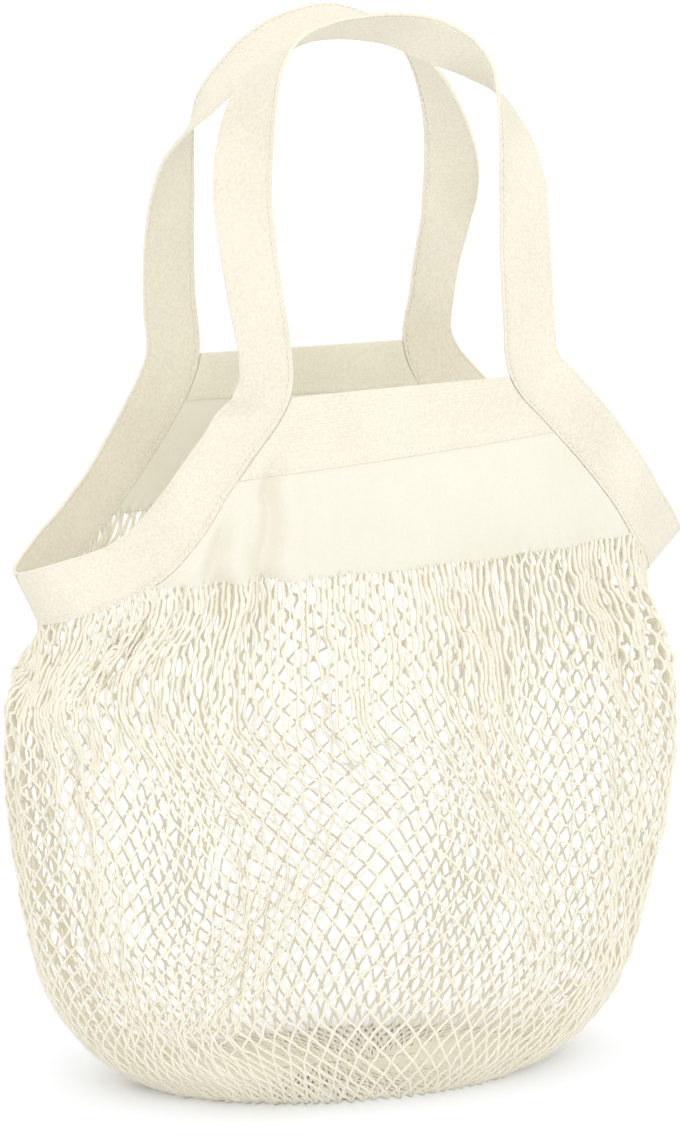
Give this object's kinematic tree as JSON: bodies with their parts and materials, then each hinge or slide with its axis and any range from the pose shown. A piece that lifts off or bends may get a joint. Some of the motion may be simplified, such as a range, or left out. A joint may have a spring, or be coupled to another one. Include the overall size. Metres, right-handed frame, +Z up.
{
  "type": "string shopping bag",
  "caption": "Soft net shopping bag standing open on a flat base, with cloth panels above the net and tape loops as carrying handles.",
  "frame": {"origin": "centre of the base, on the surface that the bag stands on", "axes": "+X to the right along the opening, +Y to the back, +Z up towards the handles"},
  "size_m": [0.3196, 0.1984, 0.4786],
  "materials": {
    "net_cord": "undyed soft twisted cotton cord, matt, slightly fuzzy",
    "panel_cloth": "undyed plain-weave cotton cloth, smooth and matt",
    "band_cloth": "undyed coarse plain-weave cotton cloth, matt",
    "woven_tape": "undyed cotton tape with a fine twill weave, matt"
  },
  "bodies": {
    "root": {"net_body": "net_cord", "front_panel": "panel_cloth", "back_panel": "panel_cloth", "front_top_band": "band_cloth", "back_top_band": "band_cloth", "front_handle_tape": "woven_tape", "back_handle_tape": "woven_tape"}
  },
  "joints": []
}
